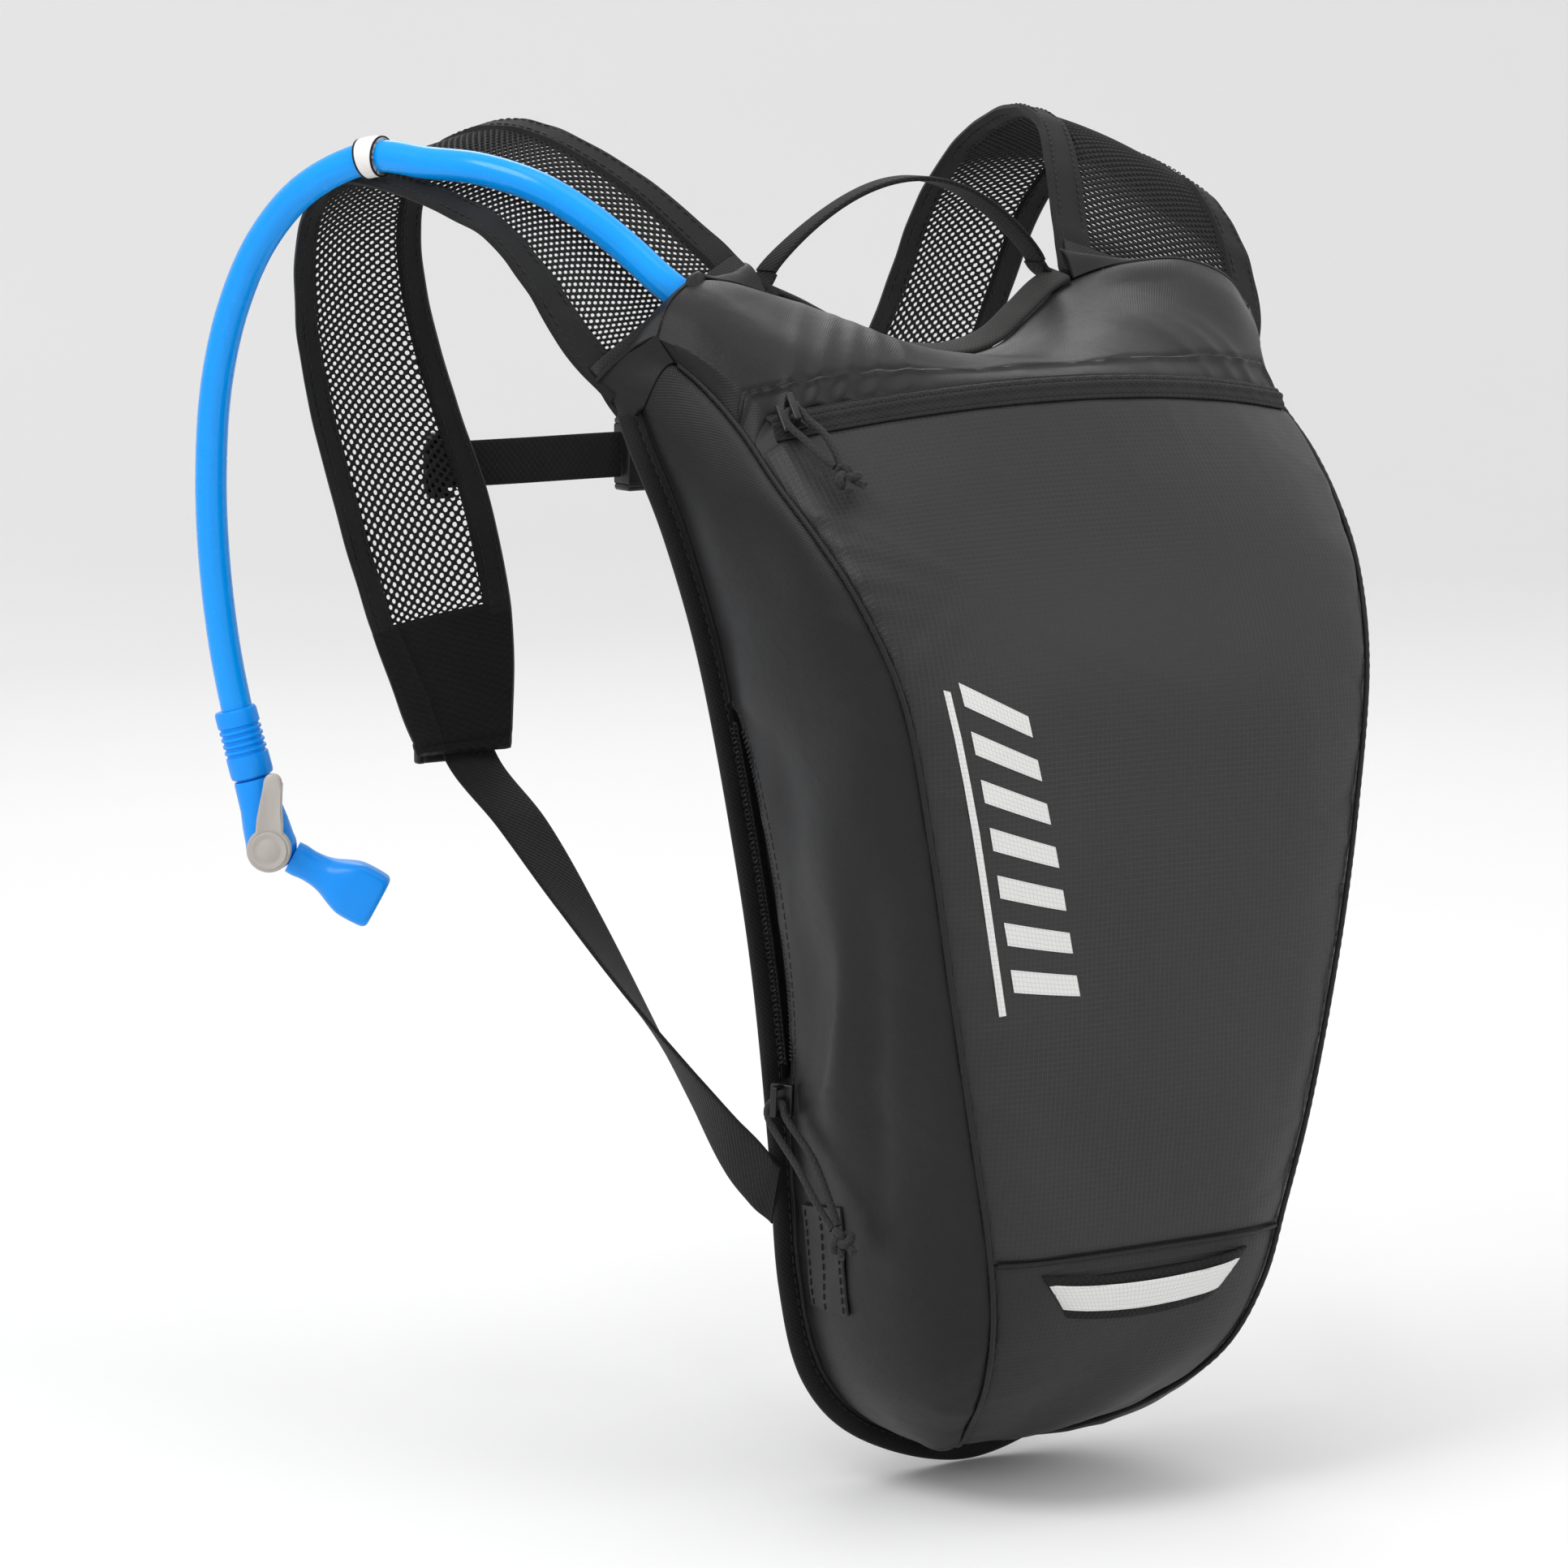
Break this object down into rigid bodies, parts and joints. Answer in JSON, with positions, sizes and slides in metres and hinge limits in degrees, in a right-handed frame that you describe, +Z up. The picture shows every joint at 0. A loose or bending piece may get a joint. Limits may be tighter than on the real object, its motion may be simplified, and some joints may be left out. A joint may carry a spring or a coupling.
{
  "type": "hydration pack",
  "caption": "Small hydration pack with see-through shoulder straps, a drink tube with bite valve, an inner reservoir and zipped front and side pockets.",
  "frame": {"origin": "middle of the flat face of the back panel that rests on the wearer, 120 mm above the lowest point of the pack", "axes": "+Z up, +Y from the pack towards the wearer, -Y the outer side, +X to the right seen from the outer side, which is the side without the drink tube"},
  "size_m": [0.3229, 0.2749, 0.4153],
  "materials": {
    "ripstop": "grey ripstop nylon, light sheen",
    "side_cloth": "dark grey plain-woven nylon",
    "strap_mesh": "open knitted spacer mesh",
    "back_mesh": "closed knitted spacer mesh",
    "tape": "ribbed woven binding tape",
    "webbing": "black ribbed polyester webbing",
    "foam": "closed-cell foam",
    "lining": "thin woven lining",
    "zip_coil": "black nylon coil",
    "zip_metal": "dark painted zip slider",
    "pull_cord": "round braided cord with pale flecks",
    "plastic": "black moulded acetal",
    "bladder": "clear soft film, water tinted",
    "cap_blue": "blue moulded plastic",
    "hose_blue": "translucent blue soft tube",
    "bite_blue": "soft silicone",
    "valve_grey": "light grey moulded plastic",
    "reflective": "retroreflective tape",
    "keeper_white": "white elastic"
  },
  "bodies": {
    "pack": {"left_gusset": "side_cloth", "right_gusset": "side_cloth", "front_zip_tape_lower": "tape", "front_zip_tape_upper": "tape", "front_panel": "ripstop", "lower_front_panel": "ripstop", "yoke": "side_cloth", "back_panel": "back_mesh", "back_foam": "foam", "edge_binding": "tape", "neck_binding": "tape", "left_strap_mesh": "strap_mesh", "left_strap_inner_binding": "tape", "left_strap_outer_binding": "tape", "left_strap_tip": "webbing", "right_strap_mesh": "strap_mesh", "right_strap_inner_binding": "tape", "right_strap_outer_binding": "tape", "right_strap_tip": "webbing", "left_root_tape": "tape", "right_root_tape": "tape", "drink_tube": "hose_blue", "tube_keeper": "keeper_white", "valve_cuff": "hose_blue", "left_lower_webbing": "webbing", "right_lower_webbing": "webbing", "side_zip_tape_rear": "zip_coil", "side_zip_tape_front": "tape", "side_pocket_lining": "lining", "side_pocket_floor": "lining", "side_patch": "side_cloth", "light_loop": "reflective", "reservoir_bag": "bladder", "reservoir_collar": "cap_blue", "connector_socket": "cap_blue", "connector_plug": "plastic", "divider": "lining"},
    "haul_loop": {"haul_loop": "webbing"},
    "front_slider": {"front_zip_slider": "zip_metal"},
    "front_pull": {"front_zip_pull_cord": "pull_cord", "front_zip_pull_knot": "pull_cord"},
    "side_slider": {"side_zip_slider": "zip_metal"},
    "side_pull": {"side_zip_pull_cord": "pull_cord", "side_zip_pull_knot": "pull_cord"},
    "bite_valve": {"valve_body": "hose_blue", "bite_valve": "bite_blue"},
    "valve_lever": {"valve_lever": "valve_grey"},
    "reservoir_cap": {"reservoir_cap": "cap_blue", "cap_handle": "cap_blue"},
    "release_button": {"connector_button": "plastic"},
    "sternum_strap": {"sternum_webbing_left": "webbing", "sternum_buckle_female": "plastic", "sternum_keeper_left": "plastic", "sternum_keeper_right": "plastic"},
    "sternum_male": {"sternum_buckle_male": "plastic", "sternum_webbing_right": "webbing"},
    "left_lock": {"left_ladder_lock": "plastic"},
    "right_lock": {"right_ladder_lock": "plastic"}
  },
  "joints": [
    {"name": "haul_loop_fold", "type": "hinge", "parent": "pack", "child": "haul_loop", "pos_m": [0, 0.033, 0.25], "axis": [1, 0, 0], "range_deg": [-55, 55]},
    {"name": "front_zip", "type": "hinge", "parent": "pack", "child": "front_slider", "pos_m": [0, 0.16907, 0.1093], "axis": [0, 0.4478, 0.8942], "range_deg": [0, 43]},
    {"name": "front_pull_swing", "type": "hinge", "parent": "front_slider", "child": "front_pull", "pos_m": [-0.09413, -0.03874, 0.21463], "axis": [-0.9272, 0.335, -0.1677], "range_deg": [0, 95]},
    {"name": "side_zip", "type": "slide", "parent": "pack", "child": "side_slider", "axis": [-0.163, 0, 0.9866], "range_m": [0, 0.09]},
    {"name": "side_pull_swing", "type": "hinge", "parent": "side_slider", "child": "side_pull", "pos_m": [-0.08188, -0.01362, 0.00346], "axis": [-0.4706, 0.8811, 0.0473], "range_deg": [0, 95]},
    {"name": "valve_swivel", "type": "hinge", "parent": "pack", "child": "bite_valve", "pos_m": [-0.1578, 0.163, 0.093], "axis": [0.1999, -0.147, -0.9687], "range_deg": [-60, 60]},
    {"name": "lever_turn", "type": "hinge", "parent": "bite_valve", "child": "valve_lever", "pos_m": [-0.1525, 0.15911, 0.06733], "axis": [-0.5878, -0.809, 0], "range_deg": [0, 90]},
    {"name": "cap_turn", "type": "hinge", "parent": "pack", "child": "reservoir_cap", "pos_m": [0.012, -0.0454, 0.116], "axis": [0, -1, 0], "range_deg": [0, 90]},
    {"name": "release_press", "type": "slide", "parent": "pack", "child": "release_button", "axis": [0, 1, 0], "range_m": [0, 0.0015], "stiffness_N_per_m": 800},
    {"name": "sternum_height", "type": "slide", "parent": "pack", "child": "sternum_strap", "axis": [0, 0, 1], "range_m": [-0.02, 0.02]},
    {"name": "sternum_unclip", "type": "slide", "parent": "sternum_strap", "child": "sternum_male", "axis": [1, 0, 0], "range_m": [0, 0.02]},
    {"name": "left_lock_tilt", "type": "hinge", "parent": "pack", "child": "left_lock", "pos_m": [-0.0775, 0.1704, 0.1054], "axis": [1, 0, 0], "range_deg": [0, 25]},
    {"name": "right_lock_tilt", "type": "hinge", "parent": "pack", "child": "right_lock", "pos_m": [0.0775, 0.1704, 0.1054], "axis": [1, 0, 0], "range_deg": [0, 25]}
  ]
}
